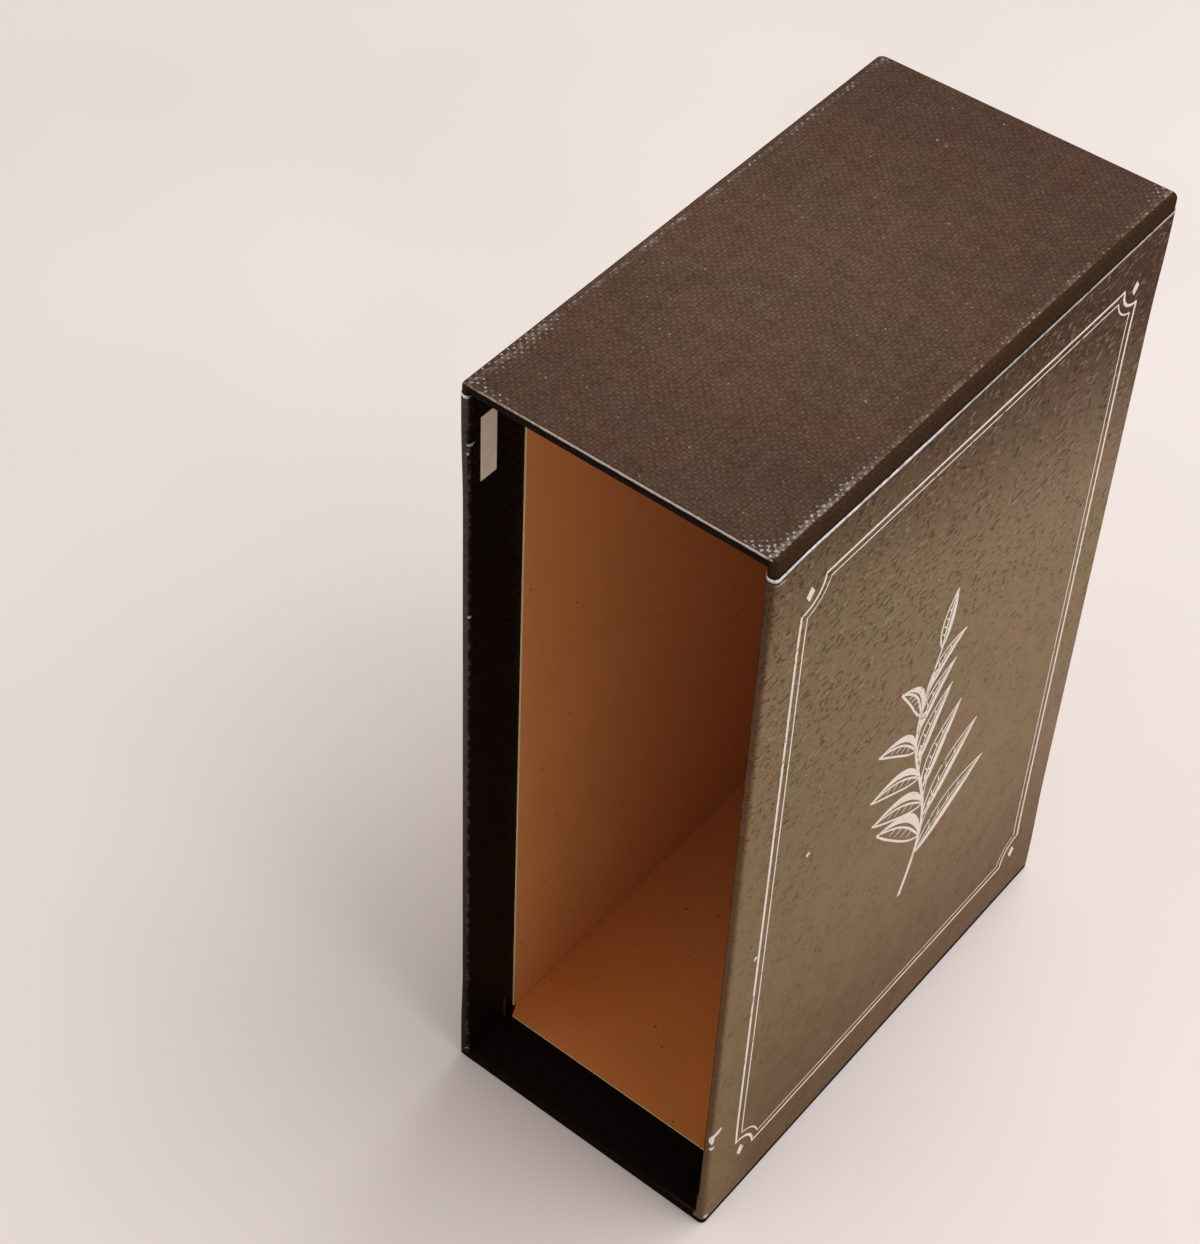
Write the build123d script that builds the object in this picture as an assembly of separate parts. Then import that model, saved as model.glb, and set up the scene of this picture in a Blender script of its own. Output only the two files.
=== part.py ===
from build123d import *
import os

# Book slipcase of covered board, in millimetres. The middle of the foot is at the origin,
# +Z is up, the open mouth faces -Y and the two large sides face -X and +X.

# Overall size outside the coverings
case_width = 78.0
case_depth = 146.0
case_height = 230.0

# Thickness of each layer
board = 2.0
cloth = 0.35
paper = 0.2
card = 0.5
label_paper = 0.1

# Rounding of the bare boards
back_corner_radius = 1.5
long_edge_radius = 0.7
mouth_outer_radius = 0.9
mouth_inner_radius = 0.9

# Book cloth over the head and the foot
cloth_flap = 10.0
cloth_turn_in = 22.0
cloth_corner_tab = 14.0

# Printed sheet round the sides and the back
sheet_head_margin = 4.5
sheet_foot_margin = 1.2
sheet_turn_in = 22.0

# Liner cards inside
side_liner_setback = 17.5
end_liner_setback = 15.1
liner_clearance = 0.3
liner_taper_width = 1.6
liner_taper_length = 3.7

# Shelf label inside the mouth
label_width = 5.0
label_height = 18.2
label_clipped_corner = 0.9
label_from_mouth = 3.3
label_from_head = 10.2

# Faces of the bare boards, which all other places follow
skins = cloth + paper
side_face = case_width / 2 - skins
side_inner = side_face - board
mouth_face = -case_depth / 2 + skins
back_face = case_depth / 2 - skins
back_inner = back_face - board
foot_face = cloth
foot_inner = foot_face + board
head_face = case_height - cloth
head_inner = head_face - board

# Levels of the edges of the coverings
flap_level = case_height - cloth_flap
sheet_head = case_height - sheet_head_margin

# Reach of the boxes that cut or keep a region past the part
beyond = case_height


def block(x, y, z):
    """Box between the two values given for each axis."""
    size = Box(x[1] - x[0], y[1] - y[0], z[1] - z[0])
    return Pos((x[0] + x[1]) / 2, (y[0] + y[1]) / 2, (z[0] + z[1]) / 2) * size


def envelope(grow):
    """Outside of the boards together, moved outwards by grow, with its rounded edges."""
    half = side_face + grow
    form = block(
        (-half, half),
        (mouth_face - grow, back_face + grow),
        (foot_face - grow, head_face + grow),
    )
    uprights = form.edges().filter_by(Axis.Z).sort_by(Axis.Y)
    form = fillet(uprights[2:], back_corner_radius + grow)
    uprights = form.edges().filter_by(Axis.Z).sort_by(Axis.Y)
    form = fillet(uprights[:2], mouth_outer_radius + grow)
    ends = form.faces().sort_by(Axis.Z)
    rims = ends[0].edges() + ends[-1].edges()
    return fillet(rims, long_edge_radius + grow)


def walls(grow):
    """The hollow walls, thickened by grow on both faces, with a rounded mouth."""
    half = side_inner - grow
    hollow = block(
        (-half, half),
        (mouth_face - beyond, back_inner),
        (foot_inner + grow, head_inner - grow),
    )
    form = envelope(grow) - hollow
    mouth = form.faces().sort_by(Axis.Y)[0]
    return fillet(mouth.inner_wires()[0].edges(), mouth_inner_radius + grow)


def mirrored_to_foot(shape):
    """The same shape at the foot of the case."""
    return mirror(shape, Plane.XY.offset(case_height / 2))


def make_boards():
    """Five greyboards: the sides run full size, the rest butt between them."""
    bare = walls(0)
    between = (-side_inner, side_inner)
    full_depth = (-beyond, beyond)
    in_front = (-beyond, back_inner)
    full_height = (-beyond, 2 * beyond)
    return {
        "left_board": bare & block((-beyond, -side_inner), full_depth, full_height),
        "right_board": bare & block((side_inner, beyond), full_depth, full_height),
        "back_board": bare & block(between, (back_inner, beyond), full_height),
        "head_board": bare & block(between, in_front, (head_inner, 2 * beyond)),
        "foot_board": bare & block(between, in_front, (-beyond, foot_inner)),
    }


def make_head_cloth():
    """Cloth over the head board, folded onto the sides and back and turned in at the mouth."""
    skin = walls(cloth) - walls(0)
    skin -= block((-beyond, beyond), (-beyond, beyond), (-beyond, flap_level))
    within = (-side_inner, side_inner)
    past_turn_in = (mouth_face + cloth_turn_in, back_inner)
    past_tab = (mouth_face + cloth_corner_tab, back_inner)
    skin -= block(within, past_turn_in, (flap_level, head_inner))
    skin -= block(within, past_tab, (flap_level, head_inner - cloth))
    return skin


def make_side_sheet(cloths):
    """One sheet round left side, back and right side, turned in at both mouth edges."""
    within = (-side_inner, side_inner)
    everywhere = (-beyond, beyond)
    over_head_cloth = block(everywhere, everywhere, (flap_level - paper, 2 * beyond))
    over_cloth = over_head_cloth + mirrored_to_foot(over_head_cloth)
    past_tab = (mouth_face + cloth_corner_tab + paper, back_inner)
    over_cloth -= block(within, past_tab, (foot_inner, head_inner))
    sheet = walls(paper) + (walls(skins) & over_cloth)
    for covered in [walls(0)] + cloths:
        sheet -= covered
    sheet &= block(everywhere, everywhere, (sheet_foot_margin, sheet_head))
    middle = (-side_inner + skins, side_inner - skins)
    sheet -= block(middle, (-beyond, back_inner), everywhere)
    past_turn_in = (mouth_face + sheet_turn_in, back_inner)
    sheet -= block(within, past_turn_in, (foot_inner, head_inner))
    return sheet


def make_end_liner():
    """Floor liner card with its two front corners tapered to ease it past the sides."""
    half = side_inner - paper - liner_clearance
    front = mouth_face + end_liner_setback
    back = back_inner - card
    corners = [
        (-half, back),
        (-half, front + liner_taper_length),
        (-half + liner_taper_width, front),
        (half - liner_taper_width, front),
        (half, front + liner_taper_length),
        (half, back),
    ]
    outline = Plane.XY.offset(foot_inner + cloth) * make_face(Polyline(*corners, close=True))
    return extrude(outline, amount=card)


def make_liners():
    """Five liner cards; the side cards stand clear of the end cards."""
    floor = make_end_liner()
    side_outer = side_inner - paper
    side_depth = (mouth_face + side_liner_setback, back_inner - card)
    end_stack = cloth + card + liner_clearance
    side_height = (foot_inner + end_stack, head_inner - end_stack)
    back_half = side_inner - liner_clearance
    back_height = (foot_inner + liner_clearance, head_inner - liner_clearance)
    return {
        "floor_liner": floor,
        "ceiling_liner": mirrored_to_foot(floor),
        "left_liner": block((-side_outer, -side_outer + card), side_depth, side_height),
        "right_liner": block((side_outer - card, side_outer), side_depth, side_height),
        "back_liner": block((-back_half, back_half), (back_inner - card, back_inner), back_height),
    }


def make_shelf_label():
    """Small bare label stuck on the turned-in sheet, with one corner clipped."""
    outer = mouth_face + label_from_mouth
    inner = outer + label_width
    top = case_height - label_from_head
    foot = top - label_height
    corners = [
        (outer, foot),
        (inner, foot),
        (inner, top - label_clipped_corner),
        (inner - label_clipped_corner, top),
        (outer, top),
    ]
    wall = Plane.YZ.offset(-side_inner + paper)
    return extrude(wall * make_face(Polyline(*corners, close=True)), amount=label_paper)


head_cloth = make_head_cloth()
foot_cloth = mirrored_to_foot(head_cloth)

pieces = make_boards()
pieces["head_cloth"] = head_cloth
pieces["foot_cloth"] = foot_cloth
pieces["side_sheet"] = make_side_sheet([head_cloth, foot_cloth])
pieces.update(make_liners())
pieces["shelf_label"] = make_shelf_label()

os.makedirs("parts", exist_ok=True)
for name, shape in pieces.items():
    shape.label = name
    export_step(shape, f"parts/{name}.step")
    print(name, len(shape.solids()), round(shape.volume, 2))
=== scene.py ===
import math

import bmesh
import bpy
from mathutils import Matrix, Vector, noise


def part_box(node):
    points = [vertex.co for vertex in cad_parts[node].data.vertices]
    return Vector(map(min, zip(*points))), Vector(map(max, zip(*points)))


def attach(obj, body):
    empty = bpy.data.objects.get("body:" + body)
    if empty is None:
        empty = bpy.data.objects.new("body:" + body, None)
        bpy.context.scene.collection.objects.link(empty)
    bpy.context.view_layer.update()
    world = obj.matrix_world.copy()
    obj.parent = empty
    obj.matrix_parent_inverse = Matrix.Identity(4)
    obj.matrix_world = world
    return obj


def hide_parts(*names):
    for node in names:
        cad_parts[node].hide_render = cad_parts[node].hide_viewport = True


# Book slipcase of covered board, standing on its foot. The mouth faces -Y.
# Everything is in metres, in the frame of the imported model.

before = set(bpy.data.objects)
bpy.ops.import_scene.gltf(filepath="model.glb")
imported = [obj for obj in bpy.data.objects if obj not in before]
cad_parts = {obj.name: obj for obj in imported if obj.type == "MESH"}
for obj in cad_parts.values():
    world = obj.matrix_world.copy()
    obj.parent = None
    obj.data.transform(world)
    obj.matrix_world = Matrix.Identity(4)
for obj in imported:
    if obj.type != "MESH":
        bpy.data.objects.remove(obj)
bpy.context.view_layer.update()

MM = 0.001
X, Y, Z = range(3)


def low(node, axis):
    """Lowest value of a node along an axis."""
    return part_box(node)[0][axis]


def high(node, axis):
    """Highest value of a node along an axis."""
    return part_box(node)[1][axis]


# Places of the layers, from the frame
side = high("side_sheet", X)
mouth = low("head_cloth", Y)
back = high("head_cloth", Y)
head = high("head_cloth", Z)
flap_level = low("head_cloth", Z)
sheet_head = high("side_sheet", Z)
sheet_foot = low("side_sheet", Z)
cloth = head - high("head_board", Z)
paper = side - high("head_cloth", X)
board_side = high("right_board", X)
board_inner = low("right_board", X)
board_mouth = low("right_board", Y)
board_back = high("back_board", Y)
sheet_side = board_side + paper


# Shader building


class Finish:
    """A material in the making, with short calls for the shader nodes it uses."""

    def __init__(self, name):
        self.material = bpy.data.materials.new(name)
        self.material.use_nodes = True
        self.tree = self.material.node_tree
        self.shader = self.tree.nodes["Principled BSDF"]
        coordinates = self.tree.nodes.new("ShaderNodeTexCoord")
        self.place = coordinates.outputs["Object"]
        self.facing = coordinates.outputs["Normal"]

    def put(self, socket, value):
        """Links a socket to a value that is another socket, or sets it."""
        if isinstance(value, bpy.types.NodeSocket):
            self.tree.links.new(value, socket)
        else:
            socket.default_value = value

    def node(self, kind, inputs, **settings):
        """A new shader node with its settings and its inputs, by name or number."""
        made = self.tree.nodes.new(kind)
        for name, value in settings.items():
            setattr(made, name, value)
        for key, value in inputs.items():
            self.put(made.inputs[key], value)
        return made

    def math(self, operation, first, second=0.0, third=0.0):
        """One of Blender's sums with up to three numbers."""
        inputs = {0: first, 1: second, 2: third}
        return self.node("ShaderNodeMath", inputs, operation=operation).outputs[0]

    def times(self, first, *others):
        """The product of all values."""
        for other in others:
            first = self.math("MULTIPLY", first, other)
        return first

    def most(self, first, second):
        """The greater of two values."""
        return self.math("MAXIMUM", first, second)

    def vector(self, operation, first, second):
        """One of Blender's sums with two vectors."""
        made = self.node("ShaderNodeVectorMath", {0: first, 1: second}, operation=operation)
        return made.outputs["Value" if operation == "DISTANCE" else "Vector"]

    def split(self, vector):
        """The three parts of a vector."""
        return list(self.node("ShaderNodeSeparateXYZ", {0: vector}).outputs)

    def join(self, x, y, z):
        """A vector from its three parts."""
        return self.node("ShaderNodeCombineXYZ", {0: x, 1: y, 2: z}).outputs[0]

    def stretched(self, x, y, z):
        """Object places scaled along each axis, for marks that are longer one way."""
        return self.vector("MULTIPLY", self.place, (x, y, z))

    def noise(self, size, detail=2.0, roughness=0.5, place=None):
        """Soft noise from 0 to 1, with features about size metres across."""
        inputs = {
            "Vector": place or self.place,
            "Scale": 1 / size,
            "Detail": detail,
            "Roughness": roughness,
        }
        return self.node("ShaderNodeTexNoise", inputs).outputs["Fac"]

    def waver(self, size, detail, roughness):
        """Noise to both sides of 0."""
        return self.math("SUBTRACT", self.noise(size, detail, roughness), 0.5)

    def scatter(self, size):
        """Distance to the nearest point of a scattered set, about size metres apart."""
        inputs = {"Vector": self.place, "Scale": 1 / size}
        return self.node("ShaderNodeTexVoronoi", inputs).outputs["Distance"]

    def away_from(self, middle, reach, place):
        """Distance of a place from a middle, which is 1 at the reach along each axis."""
        offset = self.vector("SUBTRACT", place, middle)
        offset = self.vector("DIVIDE", offset, reach)
        return self.vector("DISTANCE", offset, (0.0, 0.0, 0.0))

    def rise(self, value, start, end):
        """0 before start, 1 past end, and smooth between them."""
        inputs = {"Value": value, "From Min": start, "From Max": end}
        made = self.node("ShaderNodeMapRange", inputs, interpolation_type="SMOOTHSTEP")
        return made.outputs["Result"]

    def blend(self, share, first, second):
        """A colour between first and second."""
        inputs = {"Factor": share, 6: first, 7: second}
        made = self.node("ShaderNodeMix", inputs, data_type="RGBA")
        return made.outputs[2]

    def between(self, share, first, second):
        """A number between first and second."""
        return self.node("ShaderNodeMix", {0: share, 2: first, 3: second}).outputs[0]

    def bump(self, height, depth):
        """Normal of a relief that is depth metres deep where height runs from 0 to 1."""
        inputs = {"Height": height, "Distance": depth, "Strength": 1.0}
        return self.node("ShaderNodeBump", inputs).outputs["Normal"]

    def finish(self, colour, roughness, normal, specular):
        """The material with its last values."""
        self.put(self.shader.inputs["Base Color"], colour)
        self.put(self.shader.inputs["Roughness"], roughness)
        self.put(self.shader.inputs["Normal"], normal)
        self.shader.inputs["Specular IOR Level"].default_value = specular
        return self.material


def colour(red, green, blue):
    """Linear colour from the 0 to 255 values of a screen colour."""
    linear = []
    for value in (red, green, blue):
        share = value / 255
        linear.append(share / 12.92 if share <= 0.04045 else ((share + 0.055) / 1.055) ** 2.4)
    return (*linear, 1.0)


# Materials


def make_greyboard():
    """Grey pulp board with coarse fibres, hidden under the coverings."""
    f = Finish("greyboard")
    fibres = f.noise(0.4 * MM, detail=4.0, place=f.stretched(1.0, 0.35, 1.0))
    cloud = f.noise(6 * MM)
    tone = f.blend(fibres, colour(118, 110, 100), colour(150, 142, 130))
    tone = f.blend(f.times(cloud, 0.4), tone, colour(128, 116, 100))
    return f.finish(tone, f.between(fibres, 0.8, 0.95), f.bump(fibres, 0.05 * MM), specular=0.3)


# The sheet's cut edge under the head runs a little higher on the left, bows up towards
# the front and the back, and dips at the right of the mouth
edge_middle = 0.78 * MM
edge_slant = 0.6 * MM
edge_bow = 0.5 * MM
edge_dip = 0.68 * MM
dip_reach = 10 * MM


def cut_edge(x, y):
    """Level of the sheet's cut edge under the head."""
    from_corner = math.hypot(x - side, y - mouth)
    dip = edge_dip * max(0.0, 1 - from_corner / dip_reach)
    return sheet_head + edge_middle - edge_slant * x / side + edge_bow * (y / back) ** 2 - dip


def cut_edge_level(f, x, y):
    """The same level in a material."""
    from_corner = f.vector("DISTANCE", f.join(x, y, 0.0), (side, mouth, 0.0))
    near = f.math("MAXIMUM", f.math("MULTIPLY_ADD", from_corner, -1 / dip_reach, 1.0), 0.0)
    level = f.math("MULTIPLY_ADD", x, -edge_slant / side, sheet_head + edge_middle)
    level = f.math("MULTIPLY_ADD", f.times(y, y), edge_bow / back ** 2, level)
    return f.math("MULTIPLY_ADD", near, -edge_dip, level)


thread_pitch = 0.96 * MM

# Where hands and shelves have rubbed the head: middle, reach along x and y, and strength
rubs = [
    ((side - 2 * MM, mouth), (11 * MM, 7 * MM), 1.0),
    ((side - 2 * MM, mouth + 18 * MM), (3.2 * MM, 32 * MM), 0.8),
    ((2 * MM - side, mouth), (20 * MM, 7 * MM), 0.62),
    ((2 * MM - side, mouth + 14 * MM), (5 * MM, 26 * MM), 0.62),
    ((side - 2 * MM, back), (7 * MM, 12 * MM), 0.72),
    ((2 * MM - side, back), (7 * MM, 9 * MM), 0.5),
]


def make_book_cloth():
    """Dark coated book cloth: a plain weave, faded and with a painted sheen on the head, a painted
    reflection on its upper sides, a painted shadow line above the sheet, and rubbed pale along its edges.
    """
    f = Finish("book_cloth")
    x, y, z = f.split(f.place)
    facing_x, facing_y, facing_z = f.split(f.facing)
    nx = f.math("ABSOLUTE", facing_x)
    ny = f.math("ABSOLUTE", facing_y)

    # The threads run straight over each fold, wander a little and show more in some places
    on_side = f.math("GREATER_THAN", nx, 0.72)
    on_end = f.math("GREATER_THAN", ny, 0.72)
    across = f.between(on_side, x, z)
    along = f.between(on_end, y, z)
    drift = f.waver(6 * MM, 5.0, 0.68)
    across = f.math("MULTIPLY_ADD", drift, 1.9 * MM, across)
    along = f.math("MULTIPLY_ADD", drift, -1.5 * MM, along)
    first = f.math("SINE", f.times(across, math.pi / thread_pitch))
    second = f.math("SINE", f.times(along, math.pi / thread_pitch))
    crossing = f.times(first, second)
    over = f.math("MAXIMUM", crossing, 0.0)
    under = f.times(f.math("MINIMUM", crossing, 0.0), -0.35)
    weave = f.math("MAXIMUM", over, under)
    clear = f.rise(f.noise(3.5 * MM, detail=3.0, roughness=0.6), 0.36, 0.62)
    weave = f.times(weave, f.between(clear, 0.35, 1.0))
    slub = f.noise(0.6 * MM, detail=3.0, roughness=0.7)
    relief = f.math("MULTIPLY_ADD", slub, 1.3, weave)

    # Colour: nearly black; on top of the head a faded tone with a painted sheen, brightest in the middle
    at_head = f.rise(z, head - 3 * MM, head - 1.5 * MM)
    from_side = f.math("SUBTRACT", side, f.math("ABSOLUTE", x))
    faded_and_painted_sheen = f.times(f.rise(facing_z, 0.55, 0.9), at_head)
    turn = f.between(f.math("GREATER_THAN", x, 0.0), 0.9 * MM, 0.0)
    faded_and_painted_sheen = f.times(faded_and_painted_sheen, f.rise(f.math("ADD", from_side, turn), 1.3 * MM, 2.1 * MM))
    cloud = f.rise(f.noise(14 * MM, detail=3.0), 0.34, 0.66)
    light = f.blend(cloud, colour(104, 73, 60), colour(94, 74, 59))
    warp = f.noise(0.8 * MM, detail=2.0, place=f.stretched(1.0, 0.09, 1.0))
    weft = f.noise(0.8 * MM, detail=2.0, place=f.stretched(0.09, 1.0, 1.0))
    thread = f.rise(f.math("ADD", warp, weft), 0.72, 1.28)
    light = f.blend(f.times(thread, 0.42), light, colour(122, 98, 83))
    flat_place = f.join(x, y, 0.0)
    centre = f.vector("DISTANCE", flat_place, (-6 * MM, -4 * MM, 0.0))
    light = f.blend(f.times(f.rise(centre, 5 * MM, 80 * MM), 0.32), light, colour(48, 34, 26))
    # Painted reflection: the upper side and back bands of the cloth are painted lighter
    outer = f.rise(f.math("ABSOLUTE", x), side - 2.5 * MM, side - 1.2 * MM)
    outer = f.most(outer, f.rise(y, back - 2.5 * MM, back - 1.2 * MM))
    outer = f.times(outer, f.rise(z, head / 3, head / 2))
    dark = f.blend(outer, colour(30, 20, 14), colour(68, 46, 29))
    # Painted shadow: a near-black line just above the sheet's cut edge
    above = f.math("SUBTRACT", z, cut_edge_level(f, x, y))
    above = f.math("MULTIPLY_ADD", f.noise(3 * MM), 0.6 * MM, above)
    painted_gap_shadow = f.times(f.rise(above, 1.3 * MM, 0.7 * MM), 0.75)
    dark = f.blend(painted_gap_shadow, dark, colour(20, 12, 8))
    tone = f.blend(faded_and_painted_sheen, dark, light)
    valley = f.blend(0.6, tone, colour(22, 14, 10))
    tone = f.blend(f.rise(relief, 0.25, 1.35), valley, tone)

    # Rubbing: weave crossings worn pale at the corners and in a thin line along the long edges
    from_mouth = f.math("SUBTRACT", y, mouth)
    rubbed = f.times(
        f.rise(from_side, 1.4 * MM, 2.0 * MM),
        f.rise(from_side, 4.0 * MM, 2.6 * MM),
        0.5,
    )
    for middle, reach, strength in rubs:
        distance = f.away_from((*middle, 0.0), (*reach, 1.0), flat_place)
        rubbed = f.most(rubbed, f.times(f.rise(distance, 1.1, 0.25), strength))
    rubbed = f.math("MULTIPLY_ADD", f.waver(5 * MM, 6.0, 0.85), 1.9, rubbed)
    scuff = f.noise(0.5 * MM, detail=4.0, roughness=0.7)
    grip = f.math("ADD", f.times(scuff, 1.9), f.times(crossing, 0.34))
    dots = f.rise(f.math("MULTIPLY_ADD", rubbed, 0.55, grip), 1.48, 1.74)
    dots = f.times(dots, f.rise(rubbed, 0.2, 0.55), 0.75)
    rim = f.times(
        f.rise(from_side, 1.4 * MM, 1.9 * MM),
        f.rise(from_side, 3.4 * MM, 2.3 * MM),
        f.rise(rubbed, 0.3, 0.8),
        f.between(scuff, 0.0, 0.5),
        f.rise(f.noise(2.4 * MM, detail=4.0, roughness=0.7), 0.38, 0.6),
    )
    dots = f.most(dots, rim)
    stray = f.times(f.rise(f.noise(1.3 * MM, detail=1.0), 0.74, 0.79), 0.35)
    dots = f.times(f.most(dots, stray), faded_and_painted_sheen)
    tone = f.blend(dots, tone, colour(196, 184, 172))

    # The fold over the mouth is worn to a thin pale line, broken up towards the left
    waver = f.waver(1.8 * MM, 4.0, 0.65)
    start = f.math("MULTIPLY_ADD", waver, 0.22, ny)
    end = f.math("MULTIPLY_ADD", waver, 0.22, facing_z)
    whole = f.rise(x, -38 * MM, -8 * MM)
    broken = f.rise(f.noise(2.5 * MM, detail=4.0, roughness=0.7), 0.40, 0.54)
    at_foot = f.times(f.rise(x, 20 * MM, 38 * MM), 0.05)
    fold = f.times(
        f.rise(start, 0.32, 0.46),
        f.rise(end, 0.62, 0.76),
        f.rise(from_mouth, 3 * MM, 2 * MM),
        f.rise(from_side, 1.4 * MM, 4.5 * MM),
        f.between(whole, f.between(broken, 0.12, 0.5), 0.8),
        f.between(at_head, at_foot, 1.0),
    )
    tone = f.blend(fold, tone, colour(196, 182, 174))
    rough = f.between(weave, 0.84, 0.68)
    return f.finish(tone, rough, f.bump(relief, 0.10 * MM), specular=0.04)


# Small marks where the sheet has lost its surface: middle, reach along x, y and z, and strength
chips = [
    ((sheet_side, -70.7 * MM, 37.3 * MM), (0.9 * MM, 1.9 * MM, 0.9 * MM), 1.0),
    ((sheet_side, -72.4 * MM, 36.0 * MM), (0.9 * MM, 1.0 * MM, 1.7 * MM), 1.0),
    ((sheet_side, -71.9 * MM, 32.3 * MM), (0.9 * MM, 0.9 * MM, 0.6 * MM), 0.9),
    ((sheet_side, -46.4 * MM, 118.6 * MM), (2.0 * MM, 0.6 * MM, 0.7 * MM), 1.0),
    ((sheet_side, -63.0 * MM, 97.9 * MM), (2.0 * MM, 0.6 * MM, 0.6 * MM), 1.0),
    ((sheet_side, -71.0 * MM, 223.9 * MM), (0.9 * MM, 1.8 * MM, 0.22 * MM), 0.5),
    ((-36.5 * MM, -72.4 * MM, 213.8 * MM), (0.5 * MM, 2.0 * MM, 0.4 * MM), 0.4),
    ((-36.8 * MM, -72.6 * MM, 211.4 * MM), (0.25 * MM, 2.0 * MM, 0.6 * MM), 0.45),
    ((-36.6 * MM, -72.6 * MM, 163.2 * MM), (0.3 * MM, 2.0 * MM, 0.5 * MM), 0.5),
    ((-36.6 * MM, -72.6 * MM, 3.6 * MM), (0.5 * MM, 2.0 * MM, 0.3 * MM), 0.3),
]


def make_grained_paper(name, printed):
    """Dark paper with a pressed grain, faded olive with a painted reflection outside and black where
    turned in.
    """
    f = Finish(name)
    x, y, z = f.split(f.place)
    facing_x, facing_y = f.split(f.facing)[:2]

    # Grain: scattered small pebbles, a little longer from mouth to back, over a fine tooth
    placed = f.stretched(1.0, 0.5, 1.0)
    patch = f.rise(f.noise(8 * MM, detail=2.0), 0.34, 0.64)
    pebble = f.rise(f.noise(1.15 * MM, detail=1.0, place=placed), 0.52, 0.62)
    dent = f.rise(f.noise(1.05 * MM, detail=1.0, place=placed), 0.42, 0.33)
    tooth = f.noise(0.5 * MM, detail=2.0, place=placed)
    grain = f.math("SUBTRACT", pebble, dent)
    grain = f.times(grain, f.between(patch, 0.45, 1.0))
    grain = f.times(grain, f.between(f.rise(z, 90 * MM, 205 * MM), 0.5, 1.3))
    grain = f.math("MULTIPLY_ADD", tooth, 0.3, grain)

    # Faded olive outside with a painted reflection of the floor, painted darker towards the head, the
    # back and the foot, and black inside
    outward = f.times(facing_x, f.math("SIGN", x))
    outside = f.most(f.rise(outward, 0.45, 1.0), f.rise(facing_y, 0.3, 0.8))
    on_nose = f.times(f.rise(outward, -0.8, -0.3), f.rise(facing_y, -0.05, -0.3))
    cloud = f.rise(f.noise(15 * MM, detail=2.0), 0.34, 0.66)
    front = f.blend(cloud, colour(139, 112, 82), colour(134, 114, 80))
    behind = f.blend(cloud, colour(149, 121, 94), colour(143, 122, 91))
    light = f.blend(f.rise(y, -70 * MM, 50 * MM), front, behind)
    high_up = f.rise(f.math("MULTIPLY_ADD", y, 0.35, z), 165 * MM, 236 * MM)
    light = f.blend(high_up, light, colour(74, 41, 20))
    low_down = f.rise(f.math("MULTIPLY_ADD", y, 0.15, z), 90 * MM, 0.0)
    low_down = f.times(low_down, f.between(f.rise(y, -71 * MM, -50 * MM), 0.12, 0.62))
    light = f.blend(low_down, light, colour(94, 62, 36))
    mottle = f.rise(f.noise(1.6 * MM, detail=4.0, roughness=0.7), 0.38, 0.62)
    light = f.blend(f.times(mottle, 0.07), light, colour(30, 20, 10))
    # Painted light and shade on the mouth noses: the left one painted darker, most towards the foot, the
    # right one lighter and a little darker near the head
    nose_left = f.blend(f.rise(z, 20 * MM, 130 * MM), colour(48, 36, 33), colour(84, 69, 63))
    nose_right = f.blend(f.rise(z, 15 * MM, 50 * MM), colour(110, 86, 68), colour(108, 77, 54))
    nose_right = f.blend(f.rise(z, 175 * MM, 225 * MM), nose_right, colour(94, 69, 50))
    nose = f.blend(f.math("GREATER_THAN", x, 0.0), nose_left, nose_right)
    inside = f.blend(on_nose, colour(19, 13, 10), nose)
    tone = f.blend(outside, inside, light)
    # Painted shade in the grain's pits and a painted highlight on its raised pebbles, which are partly
    # rubbed pale as well
    pit = f.times(f.rise(grain, 0.1, -0.6), 0.48)
    tone = f.blend(f.times(pit, outside), tone, colour(40, 26, 16))
    raised = f.times(f.rise(grain, 0.5, 1.2), 0.24)
    tone = f.blend(f.times(raised, outside), tone, colour(188, 166, 132))
    rough = f.between(patch, 0.44, 0.52)

    # Rounded edges rubbed a little lighter
    turning = f.math("MINIMUM", f.math("ABSOLUTE", facing_x), f.math("ABSOLUTE", facing_y))
    worn = f.rise(f.noise(3 * MM, detail=5.0, roughness=0.7), 0.48, 0.62)
    worn = f.times(worn, f.rise(turning, 0.25, 0.6), 0.3)
    tone = f.blend(worn, tone, colour(128, 112, 98))
    rough = f.between(f.math("ABSOLUTE", facing_y), rough, 0.75)

    if printed:
        # White ink, thin or missing where the sheet has been rubbed
        rubbed = f.rise(f.noise(2.5 * MM, detail=5.0, roughness=0.7), 0.60, 0.68)
        ink = f.blend(f.times(pebble, 0.4), colour(246, 234, 222), colour(254, 246, 238))
        tone = f.blend(f.times(rubbed, 0.8), ink, tone)
        return f.finish(tone, 0.7, f.bump(grain, 0.10 * MM), specular=0.2)

    # White core at the cut edge under the head, fainter towards the back
    height = f.math("SUBTRACT", z, cut_edge_level(f, x, y))
    height = f.math("MULTIPLY_ADD", f.waver(2.2 * MM, 4.0, 0.65), 0.55 * MM, height)
    # Painted shadow: a darker band just below the cut edge
    painted_edge_shadow = f.times(f.rise(height, -2.2 * MM, -1.2 * MM), 0.3)
    tone = f.blend(f.times(painted_edge_shadow, outside), tone, colour(52, 34, 20))
    far = f.rise(y, -26 * MM, 0.0)
    edge = f.rise(f.math("MULTIPLY_ADD", far, -0.2 * MM, height), -0.78 * MM, -0.56 * MM)
    core = f.times(edge, f.between(far, 1.0, 0.6))
    core = f.times(core, f.most(outside, f.rise(outward, -0.8, -0.1)))

    # Chips, each an uneven spot
    tear = f.waver(1.0 * MM, 3.0, 0.6)
    for middle, reach, strength in chips:
        distance = f.away_from(middle, reach, f.place)
        spot = f.rise(f.math("MULTIPLY_ADD", tear, 1.6, distance), 1.05, 0.90)
        core = f.most(core, f.times(spot, strength))

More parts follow.
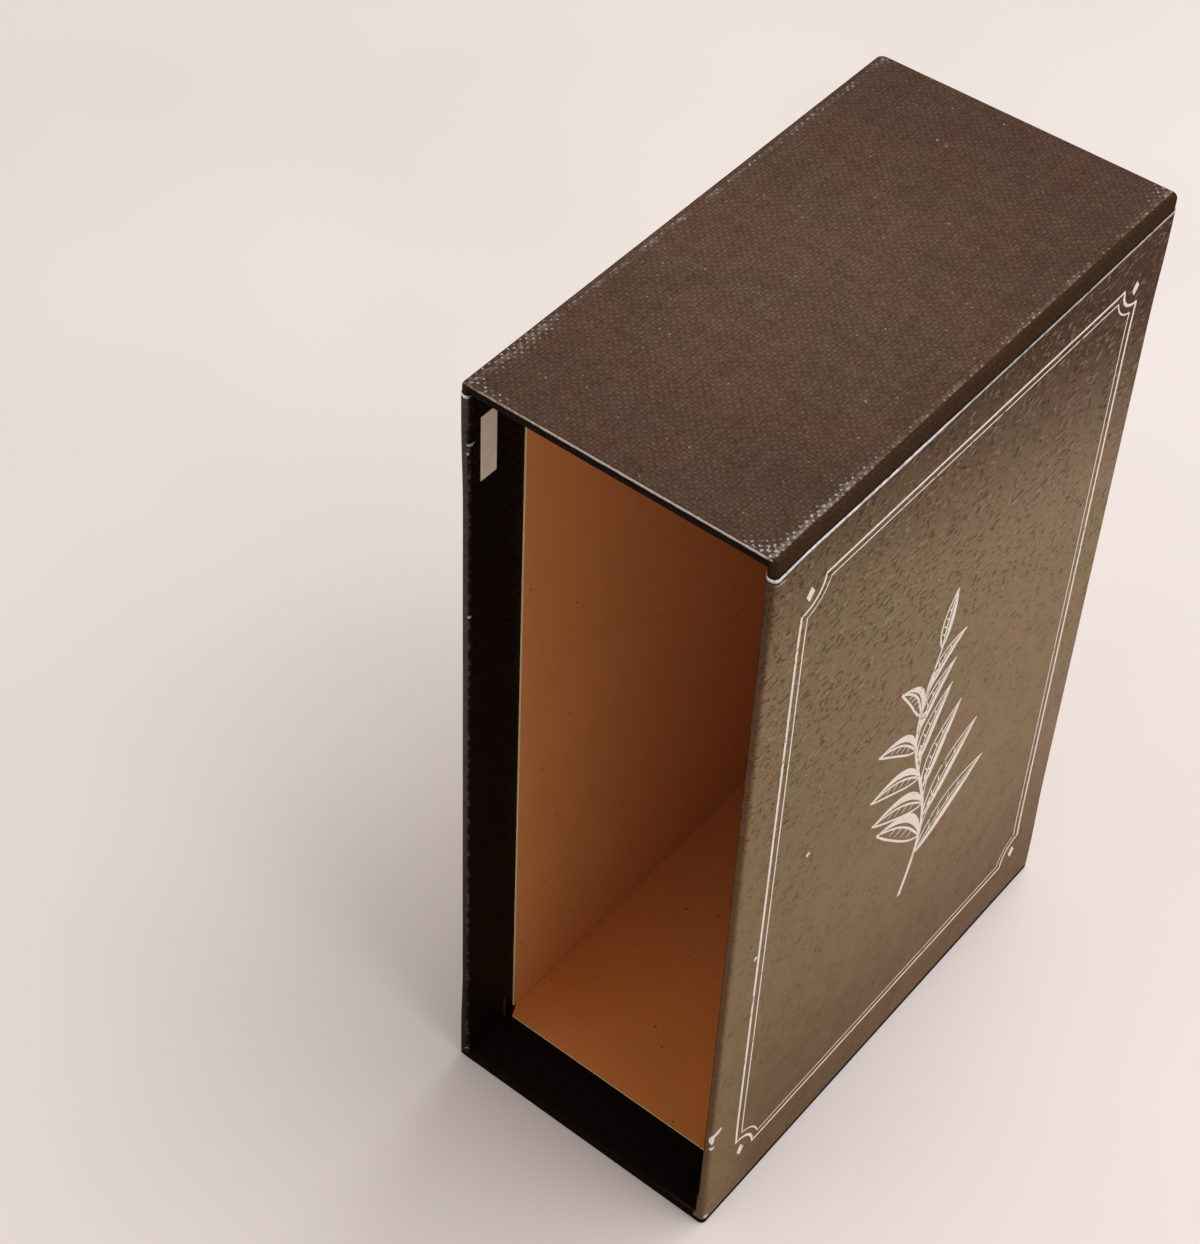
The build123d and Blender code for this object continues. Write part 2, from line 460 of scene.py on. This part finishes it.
    # Pale rubbing where the sheet meets the floor at the mouth
    foot_corner = f.vector("DISTANCE", f.place, (sheet_side, mouth + 1.1 * MM, sheet_foot + 1.8 * MM))
    foot_rub = f.rise(f.math("MULTIPLY_ADD", tear, 1.5 * MM, foot_corner), 0.9 * MM, 0.5 * MM)
    core = f.most(core, f.times(foot_rub, 0.6))

    tone = f.blend(core, tone, colour(246, 238, 235))
    rough = f.between(core, rough, 0.85)
    return f.finish(tone, rough, f.bump(grain, 0.38 * MM), specular=0.04)


def make_tan_card(name, thickness_axis, first, second):
    """Tan liner card with fibres and specks, painted shade towards the back, and paler where it was cut.
    """
    f = Finish(name)
    broad = f.math("ABSOLUTE", f.split(f.facing)[thickness_axis])
    fibre = f.noise(1.1 * MM, detail=4.0, roughness=0.6)
    cloud = f.noise(22 * MM, detail=3.0)
    tone = f.blend(f.rise(cloud, 0.32, 0.68), first, second)
    # Painted shade: browner and duller towards the back, deep inside the case
    deep = f.rise(f.split(f.place)[Y], -60 * MM, 60 * MM)
    tone = f.blend(f.times(deep, 0.7), tone, colour(190, 146, 102))
    tone = f.blend(f.times(f.rise(fibre, 0.35, 0.7), 0.3), tone, colour(234, 164, 104))
    speck = f.rise(f.scatter(5.5 * MM), 0.075, 0.045)
    tone = f.blend(f.times(speck, 0.7), tone, colour(80, 48, 24))
    cut = f.rise(broad, 0.75, 0.5)
    tone = f.blend(cut, tone, colour(254, 226, 170))
    relief = f.bump(fibre, 0.012 * MM)
    return f.finish(tone, f.between(fibre, 0.62, 0.75), relief, specular=0.35)


def make_label_paper():
    """Pale uncoated label paper with a faint cloud and fibres."""
    f = Finish("label_paper")
    fibre = f.noise(0.25 * MM, detail=4.0)
    cloud = f.noise(2.5 * MM)
    tone = f.blend(f.rise(cloud, 0.3, 0.7), colour(250, 238, 222), colour(242, 230, 206))
    tone = f.blend(f.rise(fibre, 0.45, 0.8), tone, colour(254, 246, 234))
    return f.finish(tone, 0.8, f.bump(fibre, 0.01 * MM), specular=0.3)


greyboard = make_greyboard()
book_cloth = make_book_cloth()
grained_paper = make_grained_paper("grained_paper", False)
printed_paper = make_grained_paper("printed_paper", True)
label_paper = make_label_paper()
tan_side = make_tan_card("tan_card_side", X, colour(232, 158, 96), colour(226, 155, 91))
tan_back = make_tan_card("tan_card_back", Y, colour(226, 152, 92), colour(220, 150, 88))
tan_end = make_tan_card("tan_card_end", Z, colour(236, 147, 74), colour(230, 145, 70))


# Finer copies of the thin pieces

grid = 2.6 * MM
card_grid = 6 * MM
same_place = 0.0001 * MM
flat_angle = 0.2
crease_angle = 35.0
settling = 0.05 * MM


def levels(start, end, spacing):
    """Evenly spaced values between start and end, without the ends."""
    count = max(1, math.ceil((end - start) / spacing))
    return [start + (end - start) * step / count for step in range(1, count)]


def finer_form(node, spacing, rows=()):
    """The node's mesh as a bmesh, cut into a fine grid and at the levels of extra rows."""
    form = bmesh.new()
    form.from_mesh(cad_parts[node].data)
    bmesh.ops.remove_doubles(form, verts=form.verts[:], dist=same_place)
    bmesh.ops.dissolve_limit(
        form, angle_limit=math.radians(flat_angle), verts=form.verts[:], edges=form.edges[:]
    )
    start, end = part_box(node)
    for axis in (X, Y, Z):
        cuts = levels(start[axis], end[axis], spacing)
        if axis == Z:
            cuts += rows
        normal = Vector([float(axis == other) for other in (X, Y, Z)])
        for cut in cuts:
            everything = form.verts[:] + form.edges[:] + form.faces[:]
            bmesh.ops.bisect_plane(
                form, geom=everything, dist=same_place, plane_co=normal * cut, plane_no=normal
            )
    return form


def settle(form, depth, size, seed):
    """Sinks each face a little, unevenly, as glued paper and cloth lie on a board."""
    form.normal_update()
    offset = Vector((seed, 2 * seed, 3 * seed))
    for vertex in form.verts:
        sink = 0.5 + 0.5 * noise.noise(vertex.co / size + offset)
        vertex.co -= vertex.normal * depth * min(1.0, max(0.0, sink))


def make_piece(form, name, node, material):
    """Turns the bmesh into a piece that stands for a CAD node."""
    mesh = bpy.data.meshes.new(name)
    bmesh.ops.recalc_face_normals(form, faces=form.faces[:])
    form.to_mesh(mesh)
    form.free()
    mesh.shade_smooth()
    mesh.set_sharp_from_angle(angle=math.radians(crease_angle))
    mesh.materials.append(material)
    piece = bpy.data.objects.new(name, mesh)
    bpy.context.scene.collection.objects.link(piece)
    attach(piece, "root")
    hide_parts(node)
    return piece


# Roundings of the boards
mouth_rounding = 0.9 * MM
corner_rounding = 1.5 * MM
long_edge_rounding = 0.7 * MM

# The foot's edge: a power of 2 would leave it round, and a high one makes it square
squareness = 8
fullness = paper - 0.01 * MM
full_below = 0.4 * MM


def stand_square(form):
    """Makes the cloth squarer round the foot, and fuller below the edge of the sheet."""
    rounding = long_edge_rounding + cloth
    half = board_side + cloth
    for vertex in form.verts:
        place = vertex.co
        corner = cloth + (corner_rounding if place.y > 0 else mouth_rounding)
        core = Vector((min(abs(place.x), half - corner), place.y))
        core.y = min(max(place.y, mouth + corner), back - corner)
        away = Vector((abs(place.x), place.y)) - core
        wide = 1 - (corner - away.length) / rounding
        deep = 1 - place.z / rounding
        length = math.hypot(wide, deep)
        if wide <= 0 or deep <= 0 or length < 0.9:
            continue
        growth = length / (wide ** squareness + deep ** squareness) ** (1 / squareness) - 1
        below = min(1.0, (sheet_foot - place.z) / full_below)
        away *= (growth * wide * rounding + below * wide * fullness) / away.length
        place.x += math.copysign(away.x, place.x)
        place.y += away.y
        place.z -= growth * deep * rounding


def make_cloth(node, seed, standing):
    """The cloth over the head or the foot."""
    form = finer_form(node, grid)
    if standing:
        stand_square(form)
    settle(form, settling, 12 * MM, seed)
    return make_piece(form, node + "_woven", node, book_cloth)


# The sheet stands out a little over the cloth flaps and slopes softly down to the boards
flap_slope = 24 * MM
upper_step = flap_level - paper
lower_step = head - upper_step

# Its cut edges wander within a narrow band, and the one at the foot shows some cloth below
edge_band = 3 * MM
edge_waver = 0.1 * MM
foot_lift = 0.6 * MM


def flap_rise(level):
    """How far a cloth flap still lifts the sheet off the board at a level."""
    share = min(upper_step - level, level - lower_step) / flap_slope
    share = min(1.0, max(0.0, share))
    return cloth * (1 - share * share * (3 - 2 * share))


def off_the_board(place):
    """Direction away from the wall at a place on the sheet, and the height above the board."""
    across = abs(place.x)
    if place.y > board_back - corner_rounding:
        rounding = corner_rounding
        core = Vector((min(across, board_side - rounding), board_back - rounding))
    else:
        rounding = mouth_rounding
        core_across = min(max(across, board_inner + rounding), board_side - rounding)
        core = Vector((core_across, max(place.y, board_mouth + rounding)))
    away = Vector((across, place.y)) - core
    height = away.length - rounding
    away.normalize()
    return Vector((math.copysign(1.0, place.x) * away.x, away.y, 0.0)), height


def make_sheet():
    """The sheet, sloping softly over the edges of the cloth flaps, with an uneven cut edge."""
    form = finer_form("side_sheet", grid, [sheet_head - 0.25 * MM, sheet_head - 0.8 * MM])
    for vertex in form.verts:
        place = vertex.co
        away, height = off_the_board(place)
        turned_in = max(0.0, -away.x * math.copysign(1.0, place.x))
        if paper / 2 < height < paper + cloth / 4:
            vertex.co += away * flap_rise(place.z) * (1 - turned_in)
    bmesh.ops.remove_doubles(form, verts=form.verts[:], dist=0.01 * MM)
    settle(form, settling, 16 * MM, 5.0)
    for vertex in form.verts:
        place = vertex.co
        waver = edge_waver * noise.noise(place / edge_band)
        at_head = max(0.0, 1 - (sheet_head - place.z) / edge_band)
        at_foot = max(0.0, 1 - (place.z - sheet_foot) / edge_band)
        lift = cut_edge(place.x, place.y) - sheet_head + waver
        place.z += at_head * lift + at_foot * (foot_lift + waver)
    return make_piece(form, "side_sheet_grained", "side_sheet", grained_paper)


def make_liner(node, material):
    """One flat liner card."""
    form = finer_form(node, card_grid)
    return make_piece(form, node + "_card", node, material)


make_cloth("head_cloth", 3.0, False)
make_cloth("foot_cloth", 7.0, True)
make_sheet()
make_liner("left_liner", tan_side)
make_liner("right_liner", tan_side)
make_liner("floor_liner", tan_end)
make_liner("ceiling_liner", tan_end)
make_liner("back_liner", tan_back)


# Ornament printed on the right side: an upright sprig inside a double rule

ink_height = 0.01 * MM
ink_layer = 0.004 * MM
rule_inset = 11 * MM
rule_rise = 16 * MM
rule_notch = 7 * MM
rule_spacing = 2.2 * MM
sprig_foot = 58 * MM
sprig_height = 106 * MM
outline_width = 0.65 * MM


class Drawing:
    """Flat inked shapes on the right side. A point is a pair: y, then z."""

    def __init__(self):
        self.form = bmesh.new()

    def corner(self, point, layer):
        """A new mesh corner at a point, just off the sheet and higher with each layer of ink."""
        level = sheet_side + flap_rise(point[1]) + ink_height + layer * ink_layer
        return self.form.verts.new((level, point[0], point[1]))

    def band(self, first, second, layer=0):
        """Fills the space between two lines that have the same number of points."""
        first_row = [self.corner(point, layer) for point in first]
        second_row = [self.corner(point, layer) for point in second]
        for step in range(len(first) - 1):
            corners = (first_row[step], first_row[step + 1], second_row[step + 1], second_row[step])
            face = self.form.faces.new(corners)
            face.normal_update()
            if face.normal.x < 0:
                face.normal_flip()

    def stroke(self, points, widths, layer=0):
        """Draws a line through the points, as wide at each as its width."""
        left = []
        right = []
        for index, point in enumerate(points):
            before = points[max(index - 1, 0)]
            after = points[min(index + 1, len(points) - 1)]
            heading = (after - before).normalized()
            out = Vector((-heading.y, heading.x)) * widths[index] / 2
            left.append(point + out)
            right.append(point - out)
        self.band(left, right, layer)


def steps(count):
    """Shares from 0 to 1 in even steps."""
    return [index / count for index in range(count + 1)]


def turned(point, angle):
    """A point turned about the origin."""
    return Matrix.Rotation(angle, 2) @ point


def draw_leaf(drawing, root, angle, length, width, bend):
    """A pointed leaf: one half filled, the other outlined and hatched from its vein."""

    def place(share, out):
        swell = 3.3 * share ** 0.8 * (1 - share)
        sweep = bend * math.sin(math.pi * share)
        return root + turned(Vector((length * share, sweep + out * width / 2 * swell)), angle)

    shares = steps(18)
    drawing.stroke([place(share, 0.0) for share in shares], [outline_width] * len(shares))
    drawing.stroke([place(share, 1.0) for share in shares], [outline_width] * len(shares), 1)
    inner = [place(share, -0.34) for share in shares]
    outer = [place(share, -1.05) for share in shares]
    drawing.band(inner, outer, 2)
    for share in (0.22, 0.36, 0.50, 0.64):
        hatch = [place(share + 0.08 * out, out) for out in (0.1, 0.4, 0.7)]
        drawing.stroke(hatch, [outline_width * 0.7, outline_width * 0.6, outline_width * 0.4], 3)


def draw_berry(drawing, middle, radius):
    """A ring with a crescent of shade."""
    rim = [turned(Vector((radius, 0.0)), 2 * math.pi * share) for share in steps(20)]
    drawing.stroke([middle + point for point in rim], [outline_width] * len(rim), 4)
    shade = [turned(Vector((radius, 0.0)), math.radians(150 + 150 * share)) for share in steps(10)]
    drawing.band([middle + point * 0.9 for point in shade], [middle + point * 0.45 for point in shade], 5)


def draw_sprig(drawing):
    """Stem with leaves that shorten towards the tip, and berries between them."""

    def stem(share):
        sway = 5 * MM * math.sin(2.0 * math.pi * share)
        return Vector((sway, sprig_foot + sprig_height * 0.84 * share))

    shares = steps(40)
    drawing.stroke([stem(share) for share in shares], [(1.4 - 0.7 * share) * MM for share in shares])
    leaves = 11
    for leaf in range(leaves):
        way = 1 if leaf % 2 else -1
        share = 0.14 + 0.80 * leaf / leaves
        root = stem(share)
        ahead = stem(share + 0.02) - root
        heading = math.atan2(ahead.y, ahead.x)
        length = (30 - 14 * leaf / leaves) * MM
        opening = way * math.radians(52 - 14 * leaf / leaves)
        draw_leaf(drawing, root, heading + opening, length, length * 0.27, -way * 2.2 * MM)
        if leaf % 2 == 0:
            continue
        bud = stem(share + 0.02)
        reach = turned(Vector((9 * MM, 0.0)), heading - math.radians(17))
        drawing.stroke([bud, bud + reach * 0.5, bud + reach * 0.84], [0.5 * MM] * 3, 3)
        draw_berry(drawing, bud + reach, 1.45 * MM)
    draw_leaf(drawing, stem(1.0), math.radians(80), 17 * MM, 4.6 * MM, 0.6 * MM)


def draw_rule(drawing, spacing, line):
    """A closed rule round the panel, notched in a quarter circle at each corner."""
    half_depth = back - rule_inset
    half_height = head / 2 - rule_rise
    radius = rule_notch + spacing
    first = math.asin(spacing / radius)
    outline = []
    for turn_y, turn_z in ((1, 1), (-1, 1), (-1, -1), (1, -1)):
        corner = Vector((turn_y * half_depth, head / 2 + turn_z * half_height))
        arc = []
        for share in steps(10):
            angle = first + (math.pi / 2 - 2 * first) * share
            arc.append(corner - radius * Vector((turn_y * math.sin(angle), turn_z * math.cos(angle))))
        outline += arc if turn_y * turn_z > 0 else arc[::-1]
    outline.append(outline[0])
    points = []
    for start, end in zip(outline, outline[1:]):
        count = math.ceil((end - start).length / (3 * MM))
        points += [start.lerp(end, index / count) for index in range(count)]
    points.append(outline[0])
    drawing.stroke(points, [line] * len(points))


def draw_corner_marks(drawing):
    """A small lozenge in each notch of the rule."""
    for turn_y in (-1, 1):
        for turn_z in (-1, 1):
            middle = Vector((turn_y * (back - rule_inset - 2 * MM), head / 2))
            middle.y += turn_z * (head / 2 - rule_rise - 2 * MM)
            foot = middle - Vector((0.0, 2.2 * MM))
            tip = middle + Vector((0.0, 2.2 * MM))
            out = Vector((1.4 * MM, 0.0))
            drawing.band([foot, middle - out, tip], [foot, middle + out, tip])


def make_ornament():
    """The ornament as one thin piece just off the sheet."""
    drawing = Drawing()
    draw_rule(drawing, 0.0, 0.8 * MM)
    draw_rule(drawing, rule_spacing, 0.45 * MM)
    draw_corner_marks(drawing)
    draw_sprig(drawing)
    bmesh.ops.remove_doubles(drawing.form, verts=drawing.form.verts[:], dist=0.002 * MM)
    mesh = bpy.data.meshes.new("side_ornament")
    drawing.form.to_mesh(mesh)
    drawing.form.free()
    mesh.materials.append(printed_paper)
    piece = bpy.data.objects.new("side_ornament", mesh)
    bpy.context.scene.collection.objects.link(piece)
    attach(piece, "root")


make_ornament()

# Pieces that keep the meshes of the frame
kept = {"shelf_label": label_paper}
for place in ("left", "right", "back", "head", "foot"):
    kept[place + "_board"] = greyboard
for node, material in kept.items():
    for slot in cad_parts[node].material_slots:
        slot.material = material


# Camera at the photograph's viewing angle

image_width = 1200
image_height = 1244
focal_pixels = 2825.3
axis_pixel = (510.0, 550.0)
camera_turn = 39.20
camera_rise = 45.54
camera_roll = 1.00
camera_place = Vector((230.722, -386.550, 604.270)) * MM
sensor = 36.0
nearest = 0.05
farthest = 20.0


def make_camera():
    """Camera that looks down on the mouth and the right side, with the photograph's frame."""
    turn = math.radians(camera_turn)
    rise = math.radians(camera_rise)
    roll = math.radians(camera_roll)
    level = Vector((math.cos(turn), math.sin(turn), 0.0))
    backward = Vector((math.sin(turn) * math.cos(rise), -math.cos(turn) * math.cos(rise), math.sin(rise)))
    upright = backward.cross(level)
    right = math.cos(roll) * level + math.sin(roll) * upright
    up = math.cos(roll) * upright - math.sin(roll) * level
    data = bpy.data.cameras.new("camera")
    data.sensor_width = sensor
    data.lens = focal_pixels / image_height * sensor
    data.shift_x = (image_width / 2 - axis_pixel[0]) / image_height
    data.shift_y = (axis_pixel[1] - image_height / 2) / image_height
    data.clip_start = nearest
    data.clip_end = farthest
    camera = bpy.data.objects.new("camera", data)
    axes = Matrix((right, up, backward)).transposed().to_4x4()
    camera.matrix_world = Matrix.Translation(camera_place) @ axes
    bpy.context.scene.collection.objects.link(camera)
    bpy.context.scene.camera = camera


# Floor and light

floor_reach = 2.5
studio_colour = (1.0, 0.96, 0.935, 1.0)
studio_strength = 0.42
lamp_aim = Vector((0.0, 0.0, 0.1))

# Lamps: place, width, power in watts and tint
lamps = {
    "key": ((0.7, 0.1, 1.5), 1.0, 10.2, (0.97, 0.99, 1.0)),
    "back": ((0.1, 0.7, 1.5), 1.0, 8.6, (0.97, 0.99, 1.0)),
    "fill": ((-0.5, -1.2, 1.2), 0.9, 1.4, (1.0, 0.98, 0.96)),
}


def make_floor():
    """A plain pale floor."""
    f = Finish("pale_floor")
    cloud = f.noise(120 * MM, detail=1.0)
    tone = f.blend(f.rise(cloud, 0.3, 0.7), colour(244, 232, 227), colour(240, 229, 223))
    f.put(f.shader.inputs["Base Color"], tone)
    f.shader.inputs["Roughness"].default_value = 0.9
    f.shader.inputs["Specular IOR Level"].default_value = 0.1
    form = bmesh.new()
    bmesh.ops.create_grid(form, x_segments=8, y_segments=8, size=floor_reach)
    mesh = bpy.data.meshes.new("floor")
    form.to_mesh(mesh)
    form.free()
    mesh.materials.append(f.material)
    floor = bpy.data.objects.new("floor", mesh)
    bpy.context.scene.collection.objects.link(floor)


def make_lamp(name, place, width, power, tint):
    """A soft round lamp that looks at the case."""
    data = bpy.data.lights.new(name, "AREA")
    data.shape = "DISK"
    data.size = width
    data.energy = power
    data.color = tint
    lamp = bpy.data.objects.new(name, data)
    lamp.location = place
    lamp.rotation_euler = (lamp_aim - Vector(place)).to_track_quat("-Z", "Y").to_euler()
    bpy.context.scene.collection.objects.link(lamp)


def make_light():
    """Soft studio light from all round, with three lamps."""
    world = bpy.data.worlds.new("studio")
    world.use_nodes = True
    background = world.node_tree.nodes["Background"]
    background.inputs["Color"].default_value = studio_colour
    background.inputs["Strength"].default_value = studio_strength
    bpy.context.scene.world = world
    for name, settings in lamps.items():
        make_lamp(name, *settings)


make_camera()
make_floor()
make_light()
bpy.context.scene.view_settings.view_transform = "Standard"
